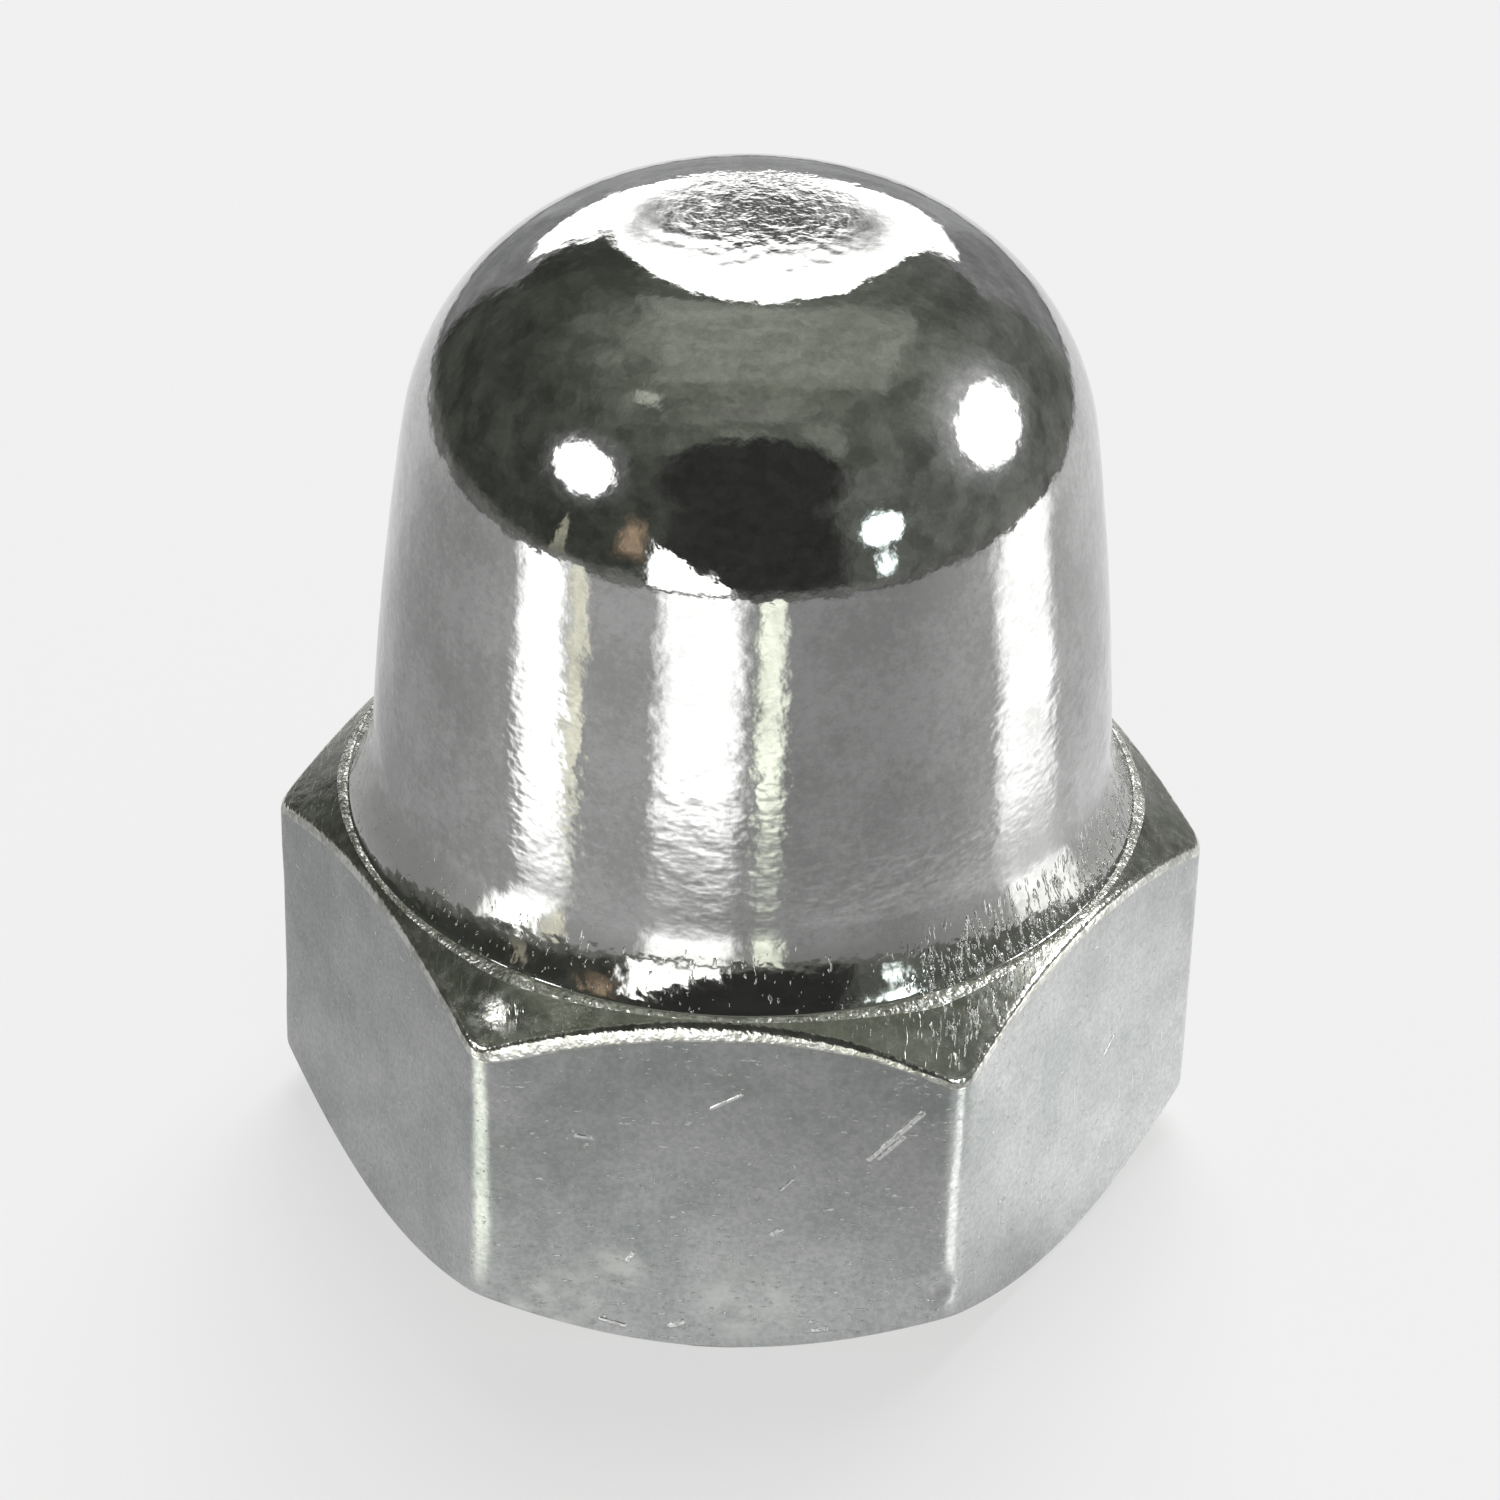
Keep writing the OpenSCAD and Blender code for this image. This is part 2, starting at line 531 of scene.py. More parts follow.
def make_nut(materials):
    """The whole nut as one object, with a material for each zone of its surface."""
    vertices, faces, zones = [], [], []
    angles = column_angles()
    add_outside(vertices, faces, zones, angles)
    add_hole(vertices, faces, zones, angles)
    mesh = bpy.data.meshes.new("plated_nut")
    mesh.from_pydata([tuple(v) for v in vertices], [], faces)
    names = list(materials)
    for name in names:
        mesh.materials.append(materials[name])
    mesh.polygons.foreach_set("material_index", [names.index(zone) for zone in zones])
    mesh.polygons.foreach_set("use_smooth", [True] * len(faces))
    mesh.update()
    nut = bpy.data.objects.new("plated_nut", mesh)
    bpy.context.scene.collection.objects.link(nut)
    return nut


# ---------------------------------------------------------------- materials


class Nodes:
    """A short way to write the nodes of a material or of the world."""

    def __init__(self, owner):
        owner.use_nodes = True
        self.tree = owner.node_tree
        self.tree.nodes.clear()

    def add(self, kind, inputs=None, **settings):
        """A new node, whose inputs are other nodes' outputs to link or plain values."""
        node = self.tree.nodes.new(kind)
        for name, value in settings.items():
            setattr(node, name, value)
        for name, value in (inputs or {}).items():
            if isinstance(value, bpy.types.NodeSocket):
                self.tree.links.new(value, node.inputs[name])
            else:
                node.inputs[name].default_value = value
        return node

    def place(self, scale):
        """Position on the object in millimetres, times a scale for each axis."""
        where = self.add("ShaderNodeTexCoord").outputs["Object"]
        factor = tuple(s / MM for s in scale)
        scaled = self.add("ShaderNodeVectorMath", {0: where, 1: factor}, operation="MULTIPLY")
        return scaled.outputs[0]

    def axes(self):
        """X, Y and Z of the position on the object, in millimetres."""
        return self.add("ShaderNodeSeparateXYZ", {0: self.place((1, 1, 1))}).outputs

    def near(self, place, core, reach):
        """1 within a core distance of a place, fading to 0 at its reach, in millimetres."""
        inputs = {0: self.place((1, 1, 1)), 1: tuple(place)}
        away = self.add("ShaderNodeVectorMath", inputs, operation="DISTANCE").outputs["Value"]
        return self.ramp(away, reach, core)

    def scratch(self, start, end, half_width):
        """1 on a thin straight scratch between two places, in millimetres."""
        start, run = Vector(start), Vector(end) - Vector(start)
        inputs = {0: self.place((1, 1, 1)), 1: tuple(start)}
        offset = self.add("ShaderNodeVectorMath", inputs, operation="SUBTRACT").outputs[0]
        inputs = {0: offset, 1: tuple(run / run.length_squared)}
        along = self.add("ShaderNodeVectorMath", inputs, operation="DOT_PRODUCT").outputs["Value"]
        held = self.add("ShaderNodeClamp", {"Value": along}).outputs[0]
        inputs = {0: tuple(run), "Scale": held}
        foot = self.add("ShaderNodeVectorMath", inputs, operation="SCALE").outputs[0]
        away = self.add("ShaderNodeVectorMath", {0: offset, 1: foot}, operation="DISTANCE")
        return self.ramp(away.outputs["Value"], half_width, half_width * 0.4)

    def total(self, *terms):
        """Sum of values, each times its weight."""
        result = None
        for value, weight in terms:
            scaled = self.math("MULTIPLY", value, weight)
            result = scaled if result is None else self.math("ADD", result, scaled)
        return result

    def noise(self, scale, detail=2, rough=0.5, stretch=(1, 1, 1)):
        """Noise of so many waves a millimetre, made finer along each axis by its stretch."""
        inputs = {"Vector": self.place(stretch), "Scale": scale, "Detail": detail, "Roughness": rough}
        return self.add("ShaderNodeTexNoise", inputs).outputs["Fac"]

    def ramp(self, value, low, high, to_low=0, to_high=1):
        """Smooth step from one value at low to another at high."""
        inputs = {"Value": value, "From Min": low, "From Max": high, "To Min": to_low, "To Max": to_high}
        step = self.add("ShaderNodeMapRange", inputs, interpolation_type="SMOOTHSTEP")
        return step.outputs["Result"]

    def around(self):
        """Distance from the axis, in millimetres."""
        flat = {0: self.place((1, 1, 0))}
        return self.add("ShaderNodeVectorMath", flat, operation="LENGTH").outputs["Value"]

    def math(self, operation, a, b=0):
        """One step of arithmetic."""
        return self.add("ShaderNodeMath", {0: a, 1: b}, operation=operation).outputs[0]

    def mix(self, share, a, b, blend_type="MIX"):
        """Colour a where the share is 0 and b where it is 1, or a and b blended in another way."""
        inputs = {0: share, 6: a, 7: b}
        return self.add("ShaderNodeMix", inputs, data_type="RGBA", blend_type=blend_type).outputs[2]

    def bump(self, height):
        """Normal of a surface whose relief is given in millimetres."""
        inputs = {"Height": height, "Distance": MM, "Strength": 1}
        return self.add("ShaderNodeBump", inputs).outputs["Normal"]

    def metal(self, colour, roughness, normal):
        """Finishes a material as bare metal."""
        inputs = {"Base Color": colour, "Roughness": roughness, "Metallic": 1.0, "Normal": normal}
        shader = self.add("ShaderNodeBsdfPrincipled", inputs)
        self.add("ShaderNodeOutputMaterial", {"Surface": shader.outputs[0]})

    def blended(self, share, first, second, output="ShaderNodeOutputMaterial"):
        """Finishes a material or the world with one shader where the share is 0 and one where it is 1."""
        mixed = self.add("ShaderNodeMixShader", {0: share, 1: first, 2: second}).outputs[0]
        self.add(output, {"Surface": mixed})

    def light(self, colour, strength):
        """Shader that glows."""
        return self.add("ShaderNodeEmission", {"Color": colour, "Strength": strength}).outputs[0]

    def seen_directly(self):
        """1 for the rays of the camera, of mirrors and of glass, which show the pale background."""
        path = self.add("ShaderNodeLightPath").outputs
        seen = self.math("MAXIMUM", path["Is Camera Ray"], path["Is Glossy Ray"])
        return self.math("MAXIMUM", seen, path["Is Transmission Ray"])


def foot_relief(n, axes, foot):
    """Relief of the crown's foot: crackle, specks, upright lines, and rubbed lines to the right."""
    crackle = n.total((n.noise(8, 1), 0.6), (n.noise(3.5, 1), 1.1))
    specks = n.ramp(n.noise(24, 1), 0.76, 0.84)
    lines = n.ramp(n.noise(1, 2, 0.5, (24, 24, 2)), 0.66, 0.74)
    rubbed = n.ramp(n.noise(1, 2, 0.6, (16, 16, 3)), 0.52, 0.66)
    rubbed = n.math("MULTIPLY", rubbed, n.ramp(axes["X"], 1.5, 2.3))
    relief = n.total((crackle, 0.0045), (specks, 0.002), (lines, 0.004), (rubbed, 0.01))
    return n.math("MULTIPLY", relief, foot)


def crown_chrome():
    """Polished chrome: ripples on the wall, grain on the middle of the top, a crackled, scratched foot."""
    material = bpy.data.materials.new("crown_chrome")
    n = Nodes(material)
    axes = n.axes()
    height = axes["Z"]
    foot = n.ramp(height, 4.55, 4.3)
    low_wall = n.math("MULTIPLY", n.ramp(height, 4.3, 5), n.ramp(height, 8, 5.6))
    crest = n.near(PITTED_TOP, 0.6, 1.1)
    ripples = n.math("MULTIPLY", n.noise(1, 1, 0.5, (6.5, 6.5, 11)), low_wall)
    pits = n.math("MULTIPLY", n.noise(15, 1), crest)
    peel, grain = n.noise(5, 1), n.noise(17, 1)
    relief = n.total((peel, 0.0035), (grain, 0.0007), (ripples, 0.0045), (pits, 0.005))
    relief = n.math("ADD", relief, foot_relief(n, axes, foot))
    haze = n.ramp(n.noise(6, 4), 0.45, 0.75, 0.04, 0.1)
    rough = n.total((haze, 1), (foot, 0.02), (crest, 0.06))
    mottled = n.ramp(n.total((n.noise(1.2, 3), 0.5), (n.noise(13, 4, 0.7), 0.5)), 0.4, 0.6)
    plain = n.mix(mottled, (0.59, 0.595, 0.58, 1), (0.475, 0.48, 0.465, 1))
    colour = n.mix(foot, plain, (0.46, 0.46, 0.44, 1))
    n.metal(colour, rough, n.bump(relief))
    return material


def side_marks_and_glints(n):
    """1 on level flecks, fine steep scratches to the right and a few long scratches, which get relief and
    painted glints.
    """
    flecks = n.ramp(n.noise(1, 4, 0.7, (8, 8, 20)), 0.62, 0.67)
    hairlines = n.ramp(n.noise(1, 3, 0.6, (26, 26, 3)), 0.62, 0.7)
    right = n.ramp(n.axes()["X"], 2.2, 3)
    marks_and_glints = n.total((flecks, 0.8), (n.math("MULTIPLY", hairlines, right), 0.5))
    broken = n.ramp(n.noise(13, 2, 0.6), 0.4, 0.5, 0.35, 1)
    for start, end, half_width in SCRATCHES:
        scratch = n.scratch(start, end, half_width)
        marks_and_glints = n.math("MAXIMUM", marks_and_glints, n.math("MULTIPLY", scratch, broken))
    return marks_and_glints


def side_chrome():
    """Satin chrome of the flats, clouded and grained, with scratches and flecks painted pale as glints, and
    two worn patches.
    """
    material = bpy.data.materials.new("side_chrome")
    n = Nodes(material)
    cloud = n.ramp(n.noise(1.1, 5, 0.6), 0.35, 0.7)
    grain = n.ramp(n.noise(20, 3, 0.6), 0.35, 0.65)
    stain = n.total((cloud, 0.6), (grain, 0.5))
    stained = n.mix(stain, (0.6, 0.605, 0.595, 1), (0.41, 0.435, 0.415, 1))
    marks_and_glints = side_marks_and_glints(n)
    worn = n.math("MAXIMUM", n.scratch(*STREAK, STREAK_WIDTH), n.near(WORN_PATCH, 0.15, 0.6))
    pale = n.math("MULTIPLY", worn, n.ramp(n.noise(4, 5, 0.65, (0.7, 1, 1)), 0.36, 0.66))
    polished = n.mix(pale, stained, (0.7, 0.72, 0.68, 1))
    # Painted glints: the flecks and scratches are given a near-white colour so that they shine, besides
    # their real relief.
    colour = n.mix(marks_and_glints, polished, (0.95, 0.95, 0.93, 1))
    rough = n.ramp(n.noise(5, 5, 0.65), 0.3, 0.7, 0.13, 0.27)
    relief = n.total((n.noise(9, 4, 0.6), 0.004), (marks_and_glints, 0.014))
    n.metal(colour, rough, n.bump(relief))
    return material


def cone_chrome():
    """Duller, darker chrome of the cone and the bottom chamfer, with fine scratches."""
    material = bpy.data.materials.new("cone_chrome")
    n = Nodes(material)
    mottled = n.ramp(n.noise(3, 5, 0.65), 0.35, 0.65)
    plain = n.mix(mottled, (0.62, 0.625, 0.57, 1), (0.41, 0.42, 0.375, 1))
    lines = n.ramp(n.noise(1, 2, 0.5, (24, 4, 4)), 0.55, 0.64)
    worn = n.math("MULTIPLY", lines, n.near(WORN_CONE, 0.35, 0.8))
    colour = n.mix(worn, plain, (0.9, 0.9, 0.87, 1))
    rough = n.ramp(n.noise(7, 4), 0.3, 0.7, 0.12, 0.3)
    relief = n.total((n.noise(10, 2, 0.6), 0.0045), (lines, 0.0012), (worn, 0.026))
    n.metal(colour, rough, n.bump(relief))
    return material


def worn_rim_and_painted_highlight(name, relief, smoothest, roughest, pale):
    """Worn chrome of an edge with fine pits of a relief given in millimetres; its raised pale colour is
    partly a painted highlight.
    """
    material = bpy.data.materials.new(name)
    n = Nodes(material)
    worn = n.ramp(n.total((n.noise(5, 4), 0.6), (n.noise(18, 2), 0.4)), 0.4, 0.6)
    # Painted highlight: the pale tone is raised above plain chrome so that the edge shines bright; the
    # darker mix is the wear.
    dark = pale * 0.6
    colour = n.mix(worn, (pale, pale, pale * 0.94, 1), (dark, dark, pale * 0.54, 1))
    rough = n.ramp(n.noise(9, 4), 0.3, 0.7, smoothest, roughest)
    n.metal(colour, rough, n.bump(n.math("MULTIPLY", n.noise(17, 1), relief)))
    return material


def face_chrome():
    """Bearing face: matt chrome with rings left by turning."""
    material = bpy.data.materials.new("face_chrome")
    n = Nodes(material)
    colour = n.mix(n.noise(2, 4), (0.56, 0.56, 0.55, 1), (0.46, 0.46, 0.45, 1))
    rings = n.math("SINE", n.math("MULTIPLY", n.around(), 75))
    rough = n.ramp(n.noise(6, 4), 0.3, 0.7, 0.25, 0.42)
    relief = n.total((n.noise(12, 3), 0.003), (rings, 0.0006))
    n.metal(colour, rough, n.bump(relief))
    return material


def hole_steel():
    """Thinly plated steel of the thread."""
    material = bpy.data.materials.new("hole_steel")
    n = Nodes(material)
    colour = n.mix(n.noise(3, 4), (0.42, 0.42, 0.41, 1), (0.3, 0.3, 0.29, 1))
    rough = n.ramp(n.noise(8, 3), 0.3, 0.7, 0.3, 0.5)
    relief = n.math("MULTIPLY", n.noise(14, 3), 0.003)
    n.metal(colour, rough, n.bump(relief))
    return material


# ---------------------------------------------------------------- stage


def direction(azimuth, elevation):
    """Unit vector; azimuth 0 is towards the camera's side, -Y, and 90 is +X."""
    a, e = math.radians(azimuth), math.radians(elevation)
    return Vector((math.sin(a) * math.cos(e), -math.cos(a) * math.cos(e), math.sin(e)))


def mirrored_only(piece):
    """Makes a piece of the stage that only reflections see."""
    piece.visible_camera = False
    piece.visible_diffuse = False
    piece.visible_shadow = False
    piece.visible_volume_scatter = False


def glow_material(name, colour, strength):
    """Light of one tone, which the mesh's glow attribute lets fade out."""
    material = bpy.data.materials.new(name)
    n = Nodes(material)
    uneven = n.ramp(n.noise(0.22, 5, 0.6), 0.35, 0.65, 0.86 * strength, 1.14 * strength)
    light = n.light((*colour, 1), uneven)
    fade = n.add("ShaderNodeAttribute", attribute_name="glow").outputs["Fac"]
    clear = n.add("ShaderNodeBsdfTransparent").outputs[0]
    n.blended(fade, clear, light)
    return material


def show_card(name, vertices, faces, glow, colour, strength):
    """Makes a card that only reflections see, from vertices in millimetres with a glow at each."""
    mesh = bpy.data.meshes.new(name)
    mesh.from_pydata([tuple(v * MM) for v in vertices], [], faces)
    mesh.attributes.new("glow", "FLOAT", "POINT").data.foreach_set("value", glow)
    mesh.materials.append(glow_material(name, colour, strength))
    piece = bpy.data.objects.new(name, mesh)
    bpy.context.scene.collection.objects.link(piece)
    mirrored_only(piece)


def wall_card(name, corners, colour, strength, core, inset):
    """Card in front of the tent's wall, by its inset in millimetres.

    Its corners are directions from the tent's centre, and its glow fades from core, a share of the way from
    its middle, to its rim. A card with a larger inset hides those behind it.
    """
    rings, steps = 12, 6
    corners = [corner.normalized() for corner in corners]
    middle = sum(corners, Vector()).normalized()
    spread = []
    for corner, following in zip(corners, corners[1:] + corners[:1]):
        spread += [corner.lerp(following, i / steps) for i in range(steps)]
    reach = TENT_RADIUS - inset
    count = len(spread)
    vertices, glow, faces = [TENT_CENTRE + middle * reach], [1.0], []
    for ring in range(1, rings + 1):
        share = ring / rings
        for towards in spread:
            vertices.append(TENT_CENTRE + middle.lerp(towards, share).normalized() * reach)
            glow.append(1 - smooth(share, core, 1))
    for i in range(count):
        faces.append((0, 1 + i, 1 + (i + 1) % count))
    for ring in range(rings - 1):
        low = 1 + ring * count
        for i in range(count):
            following = (i + 1) % count
            faces.append((low + i, low + count + i, low + count + following, low + following))
    show_card(name, vertices, faces, glow, colour, strength)


def placed_card(name, corners, colour, strength, core, inset):
    """Card in front of the tent's wall, whose corners are azimuths and elevations in degrees."""
    wall_card(name, [direction(*corner) for corner in corners], colour, strength, core, inset)


def round_lamp(name, azimuth, elevation, width, height, colour, strength, core, inset):
    """Oval lamp in front of the tent's wall: its place, half width and half height in degrees."""
    turns = [math.radians(30 * i) for i in range(12)]
    corners = [(azimuth + width * math.cos(turn), elevation + height * math.sin(turn)) for turn in turns]
    placed_card(name, corners, colour, strength, core, inset)


def ground_strip(name, start, azimuth, length, widths, colour, strength, soft, height=STRIP_Z, sway=0):
    """Bright strip of the tent's ground from a place along an azimuth, with half widths at its two ends.

    Its sides fade out from the share soft of its width, and its near end is shifted sideways by its sway.
    """
    along = direction(azimuth, 0)
    across = Vector((-along.y, along.x, 0))
    vertices, glow, faces = [], [], []
    steps, cross = 24, 12
    for i in range(steps + 1):
        share = i / steps
        half = widths[0] + (widths[1] - widths[0]) * share
        bend = sway * (1 - smooth(share, 0, 0.45))
        for j in range(cross + 1):
            side = 2 * j / cross - 1
            sideways = across * (half * side + bend)
            vertices.append(start + along * length * share + sideways + Vector((0, 0, height)))
            ends = smooth(share, 0, 0.22) * (1 - smooth(share, 0.92, 1))
            glow.append(ends * (1 - smooth(abs(side), soft, 1)))
    for i in range(steps):
        for j in range(cross):
            low = i * (cross + 1) + j
            faces.append((low, low + 1, low + cross + 2, low + cross + 1))
    show_card(name, vertices, faces, glow, colour, strength)


def upright_band(
    name, wall_azimuth, half_turn, colour, strength, near=7, soft=0.5, height=STRIP_Z, sway=0
):
    """Ground strip that the crown's wall mirrors as an upright band, to half_turn degrees each side.

    It starts this near to the foot of the wall, in millimetres.
    """
    foot = direction(wall_azimuth, 0) * WALL_POINT.x
    level = Vector((0, 0, MIRROR_Z))
    normal = direction(wall_azimuth, MIRROR_LEAN)
    view = (camera_place() - foot - level).normalized()
    run = 2 * view.dot(normal) * normal - view
    azimuth = math.degrees(math.atan2(run.x, -run.y))
    turn = math.radians(half_turn)
    sideways = WALL_POINT.x * turn * math.cos(math.radians(azimuth - wall_azimuth))
    widths = (sideways + 2 * turn * near, sideways + 2 * turn * BAND_END)
    start = foot + direction(azimuth, 0) * near
    ground_strip(name, start, azimuth, BAND_END - near, widths, colour, strength, soft, height, sway)


def tent_wall():
    """Dark dome of the tent, paler overhead, to the right and just above its ground."""
    bpy.ops.mesh.primitive_uv_sphere_add(segments=64, ring_count=64, radius=TENT_RADIUS * MM)
    piece = bpy.context.object
    piece.name = "tent_wall"
    piece.location = TENT_CENTRE * MM
    for vertex in piece.data.vertices:
        vertex.co.z = max(vertex.co.z, -TENT_CENTRE.z * MM)
    material = bpy.data.materials.new("tent_wall")
    n = Nodes(material)
    axes = n.add("ShaderNodeSeparateXYZ", {0: n.place((1 / TENT_RADIUS,) * 3)}).outputs
    side = n.mix(n.ramp(axes["X"], -0.6, 0.8), (0.085, 0.09, 0.078, 1), (0.2, 0.21, 0.19, 1))
    foot = n.mix(n.ramp(axes["Z"], -0.08, -0.18), side, (0.26, 0.26, 0.25, 1))
    wall = n.mix(n.ramp(axes["Z"], 0.5, 1), foot, (0.27, 0.29, 0.24, 1))
    cloud = n.ramp(n.noise(0.12, 4, 0.6), 0.3, 0.75)
    uneven = n.mix(cloud, (0.6, 0.6, 0.6, 1), (1.25, 1.25, 1.25, 1))
    light = n.light(n.mix(1.0, wall, uneven, "MULTIPLY"), 1.0)
    n.add("ShaderNodeOutputMaterial", {"Surface": light})
    piece.data.materials.append(material)
    mirrored_only(piece)


def ground_tone(n, around):
    """Brightness of the tent's ground: a grey with paler and darker places round the nut."""
    axes = n.axes()
    x, y = axes["X"], axes["Y"]
    near = n.math("MULTIPLY", n.ramp(around, 8, 4), n.ramp(y, -2.5, -4.5))
    rightward = n.math("DIVIDE", n.total((x, 0.8), (y, 1.2)), around)
    right = n.ramp(rightward, -0.35, 0.7)
    back = n.ramp(y, 4, 16)
    before = n.ramp(y, 0, -7)
    left = n.math("MULTIPLY", n.ramp(x, -1.2, -4.5), before)
    inner = n.math("MULTIPLY", n.ramp(x, -0.5, 2), before)
    beside = n.math("MULTIPLY", n.ramp(around, 8, 4.5), n.ramp(x, -2.5, -4))
    close = n.math("MULTIPLY", n.ramp(x, 2.2, 4.2), n.ramp(around, 14, 5))
    close = n.math("MULTIPLY", close, n.ramp(y, 4, -1.5, 0.55, 1))
    pale = n.total((near, 0.3), (right, 0.23), (close, 0.48), (back, 0.18), (left, 0.1))
    patches = n.total((pale, 1), (beside, 0.08), (inner, -0.05))
    return n.math("ADD", patches, 0.43)


def tent_ground():
    """Grey ground of the tent, just above the pale floor."""
    bpy.ops.mesh.primitive_circle_add(vertices=96, radius=TENT_RADIUS * MM, fill_type="NGON")
    piece = bpy.context.object
    piece.name = "tent_ground"
    piece.location.z = GROUND_Z * MM
    material = bpy.data.materials.new("tent_ground")
    n = Nodes(material)
    around = n.around()
    uneven = n.ramp(n.noise(0.9, 6, 0.7), 0.3, 0.7, 0.91, 1.09)
    edge = n.ramp(around, TENT_RADIUS, TENT_RADIUS - 9, 0.3, 1)
    strength = n.math("MULTIPLY", n.math("MULTIPLY", ground_tone(n, around), uneven), edge)
    n.add("ShaderNodeOutputMaterial", {"Surface": n.light((1, 1, 1.01, 1), strength)})
    piece.data.materials.append(material)
    mirrored_only(piece)


def back_cards():
    """The bright backdrop behind the nut, which the crown's top mirrors, with a grey gap in its light."""
    backdrop = [(140, -9), (140, 22), (180, 30), (222, 20), (222, -9), (180, -11)]
    placed_card("backdrop", backdrop, COOL, 0.31, 0.9, 0.6)
    middle = [(162, -10), (160, 14), (180, 22), (202, 16), (202, -10)]
    placed_card("backdrop_middle", middle, COOL, 0.43, 0.8, 0.8)
    low = [(153, 20), (163, 11), (172, 9), (181, 17), (194, 10), (206, 11), (214, 17), (203, 27), (160, 27)]
    placed_card("back_light_low", low, WHITE, 3, 0.9, 1)
    high = [(160, 24), (200, 24), (196, 36), (191, 48), (180, 52), (168, 48), (163, 34)]
    placed_card("back_light_high", high, WHITE, 3, 0.9, 1.5)
    round_lamp("crest_gap", 181, 28, 18.5, 13, WHITE, 0.08, 0.2, 2.5)


def overhead_cards():
    """The paler ceiling, a bright spot on it and the dark lens below it."""
    ceiling = [(-0.45, -0.15), (0.75, -0.1), (0.7, 0.75), (-0.4, 0.8)]
    wall_card("ceiling", [Vector((x, y, 1)) for x, y in ceiling], OLIVE, 0.36, 0.85, 0.7)
    above_lens = [(-30, 59), (-38, 71), (50, 71), (38, 59)]
    placed_card("above_lens", above_lens, OLIVE, 0.26, 0.6, 0.8)
    round_lamp("ceiling_spot", -63, 61, 11, 5, OLIVE, 0.8, 0.2, 1.2)
    round_lamp("lens", 3, 38, 41, 22, (1, 1, 0.97), 0.045, 0.75, 2)
    lens_low = [(-27, -9), (-27, 24), (35, 24), (35, -9)]
    placed_card("lens_low", lens_low, (1, 1, 0.96), 0.048, 0.8, 1.5)


def front_cards():
    """The lamps with their halos, and the bright, brown and beige patches in front of the nut."""
    round_lamp("lamp_left", -58, 26, 13, 10, COOL, 8, 0.6, 2.5)
    round_lamp("lamp_right", 97, 21, 17, 14, COOL, 8, 0.6, 2.5)
    round_lamp("lamp_small", 45, 12, 8, 8, BLUISH, 8, 0.4, 2.5)
    slope = [(-28, -9), (-28, 10), (-22, 7), (-12, 0), (0, -7), (0, -10)]
    placed_card("strip_front", slope, WHITE, 3, 0.8, 3)
    brown = [(-40, -3), (-38, 19), (-29, 19), (-27, -3)]
    placed_card("brown", brown, BROWN, 0.6, 0, 3.5)
    beige = [(-60, -10), (-57, 10), (-54, 10), (-54, -10)]
    placed_card("strip_beige", beige, (1, 0.97, 0.78), 0.5, 0.3, 3)
    round_lamp("lamp_small_low", 44, -1, 4, 7, BLUISH, 3, 0.3, 3)
    round_lamp("halo_right", 97, 24, 31, 27, COOL, 1, 0, 2.2)
    round_lamp("halo_left", -58, 27, 22, 18, COOL, 0.45, 0, 2.2)


def ground_lights():
    """The strips that the crown's wall mirrors as bands, and a glow in front of each front corner."""
    upright_band("band_front", -4.7, 8.2, WHITE, 2.2)
    upright_band("band_thin", 6, 2.9, OLIVE, 1.6, soft=0.3)
    upright_band("band_left", -31.5, 6, WHITE, 3, near=5, soft=0.3, sway=1.2)
    upright_band("band_beige", -24.8, 2, (1, 0.98, 0.83), 1.3, soft=0.3, height=UPPER_STRIP_Z)
    upright_band("band_right", 51.2, 8.5, WHITE, 2, near=5)
    corner = FLAT_R / math.cos(math.radians(30)) + 0.6
    left, right = direction(-30, 0) * corner, direction(30, 0) * corner
    ground_strip("glow_left", left, -62, 4.6, (0.9, 3), (1, 1.03, 0.93), 1.7, 0.2)
    ground_strip("glow_right", right, 60, 4.6, (0.5, 1.6), WHITE, 1.8, 0.3)


def make_tent():
    """The tent that the chrome mirrors."""
    tent_wall()
    tent_ground()
    back_cards()
    overhead_cards()
    front_cards()
    ground_lights()


def make_world():
    """Even soft light, and the pale background."""
    world = bpy.data.worlds.new("studio")
    bpy.context.scene.world = world
    n = Nodes(world)
    ambient = n.add("ShaderNodeBackground", {"Color": (1, 1, 1, 1), "Strength": AMBIENT}).outputs[0]
    pale = n.add("ShaderNodeBackground", {"Color": PALE, "Strength": 1}).outputs[0]
    n.blended(n.seen_directly(), ambient, pale, "ShaderNodeOutputWorld")


def make_floor():
    """Pale floor, which keeps part of the nut's shadow."""
    bpy.ops.mesh.primitive_plane_add(size=FLOOR_SIZE)
    floor = bpy.context.object
    floor.name = "floor"
    material = bpy.data.materials.new("floor")
    n = Nodes(material)
    share = n.math("MULTIPLY", n.seen_directly(), PALE_SHARE)
    paper = n.add("ShaderNodeBsdfDiffuse", {"Color": (0.8, 0.8, 0.8, 1)}).outputs[0]
    n.blended(share, paper, n.light(PALE, 1.0))
    floor.data.materials.append(material)


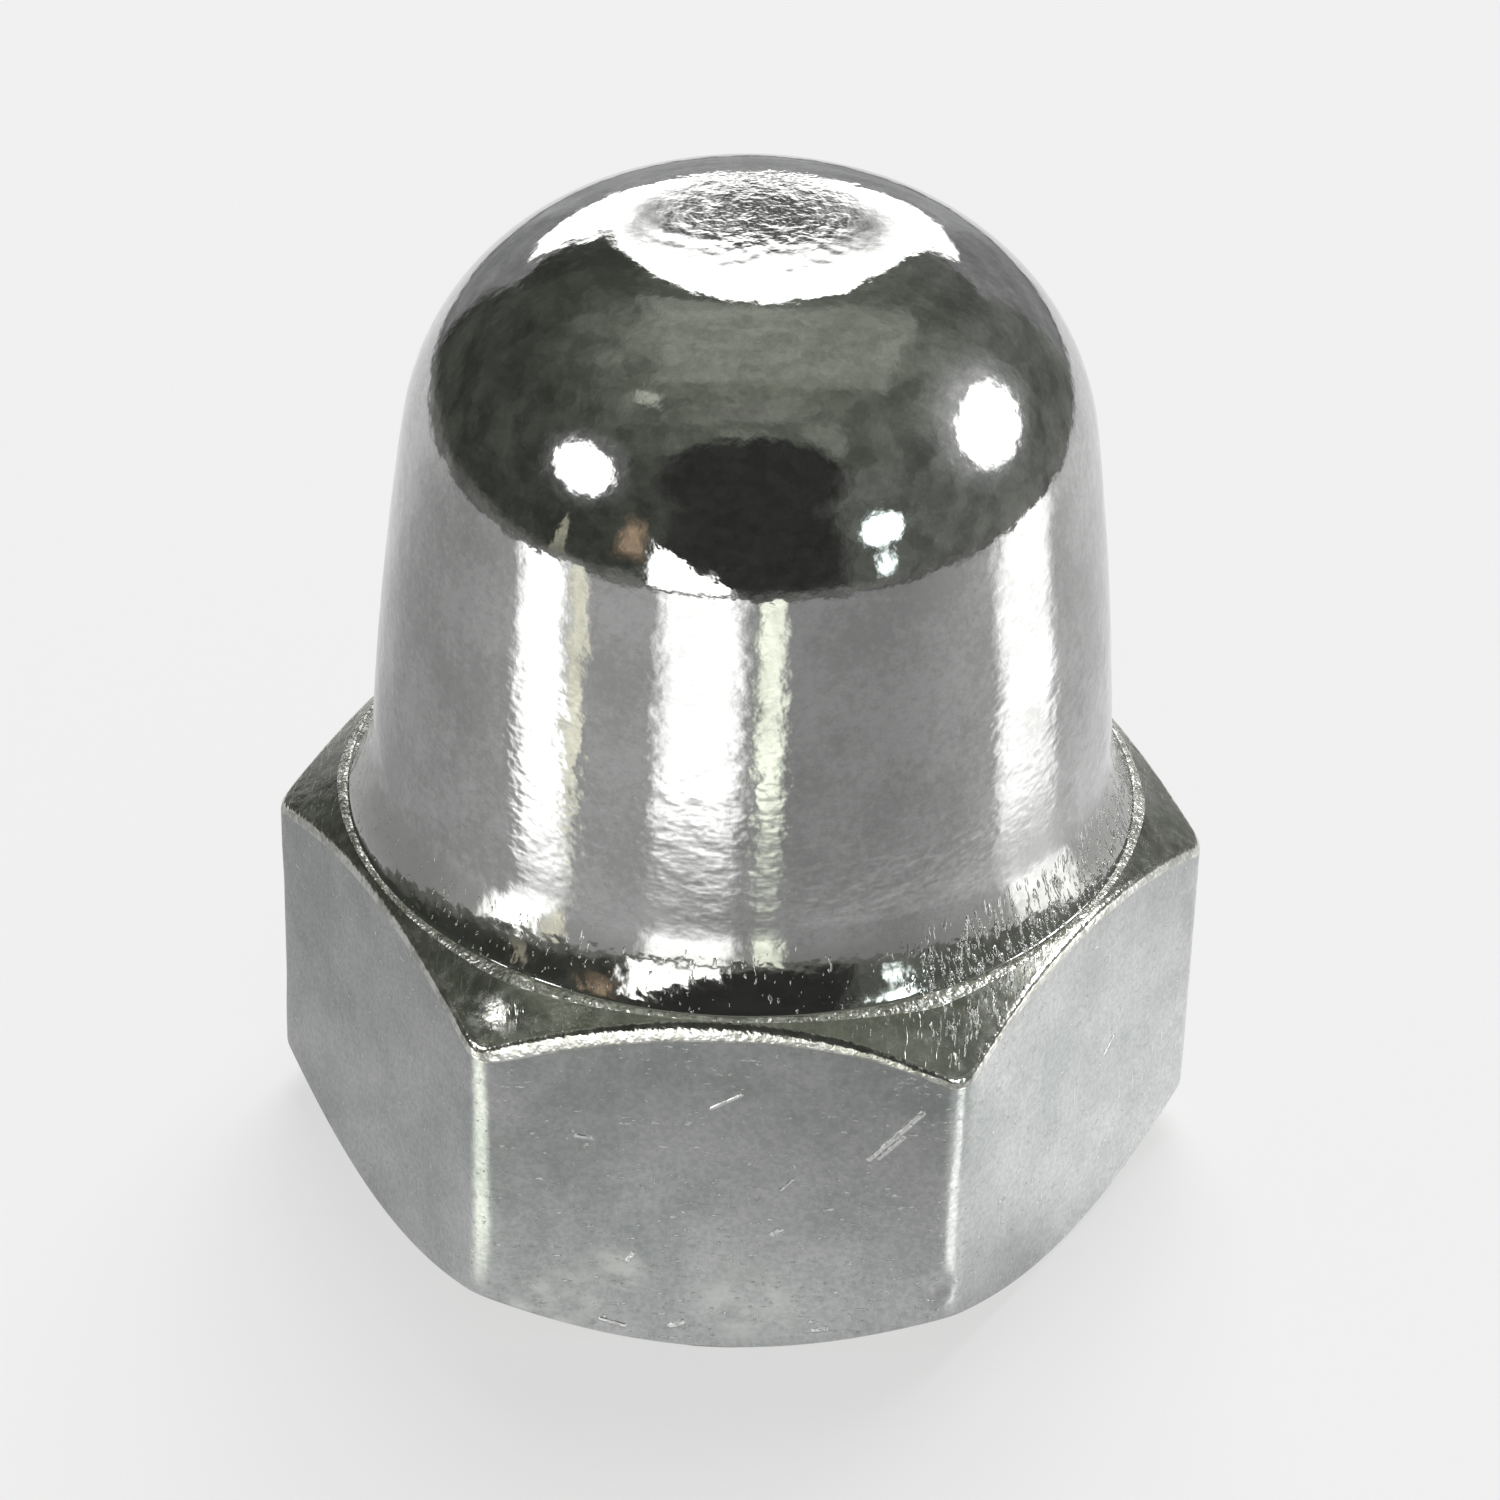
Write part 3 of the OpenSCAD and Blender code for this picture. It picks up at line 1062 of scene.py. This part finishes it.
def make_sun():
    """Soft light from behind on the floor, which shades the floor in front of the nut."""
    data = bpy.data.lights.new("softbox", "SUN")
    data.energy = SUN_ENERGY
    data.angle = math.radians(SUN_SPREAD)
    sun = bpy.data.objects.new("softbox", data)
    bpy.context.scene.collection.objects.link(sun)
    sun.rotation_mode = "QUATERNION"
    sun.rotation_quaternion = direction(SUN_AZIMUTH, SUN_ELEVATION).to_track_quat("Z", "Y")
    sun.visible_glossy = False


def camera_axes():
    """The camera's right, up and backward directions."""
    back = direction(CAMERA_AZIMUTH, CAMERA_ELEVATION)
    right = direction(CAMERA_AZIMUTH + 90, 0)
    up = back.cross(right)
    roll = math.radians(CAMERA_ROLL)
    tilted_right = right * math.cos(roll) + up * math.sin(roll)
    tilted_up = up * math.cos(roll) - right * math.sin(roll)
    return tilted_right, tilted_up, back


def camera_place():
    """Where the camera stands, in millimetres."""
    right, up, back = camera_axes()
    return back * CAMERA_DISTANCE + right * CAMERA_RIGHT + up * CAMERA_UP


def make_camera():
    """Camera at the photograph's viewing angle."""
    data = bpy.data.cameras.new("camera")
    data.sensor_width = SENSOR
    data.lens = LENS
    data.clip_start = CLIP_START * MM
    data.clip_end = CLIP_END * MM
    camera = bpy.data.objects.new("camera", data)
    bpy.context.scene.collection.objects.link(camera)
    turned = Matrix(camera_axes()).transposed().to_4x4()
    camera.matrix_world = Matrix.Translation(camera_place() * MM) @ turned
    bpy.context.scene.camera = camera


def main():
    """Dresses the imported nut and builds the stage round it."""
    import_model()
    bpy.context.scene.view_settings.view_transform = "Standard"
    materials = {
        "crown": crown_chrome(),
        "side": side_chrome(),
        # The rim and the ring get raised pale colours as painted highlights, besides their wear and
        # roughness.
        "rim": worn_rim_and_painted_highlight("worn_rim_and_painted_highlight", 0.007, 0.1, 0.24, 0.84),
        "ring": worn_rim_and_painted_highlight("worn_ring_and_painted_highlight", 0.036, 0.28, 0.5, 1),
        "cone": cone_chrome(),
        "face": face_chrome(),
        "hole": hole_steel(),
    }
    nut = make_nut(materials)
    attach(nut, "root")
    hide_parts("cap_nut")
    make_tent()
    make_world()
    make_floor()
    make_sun()
    make_camera()


main()
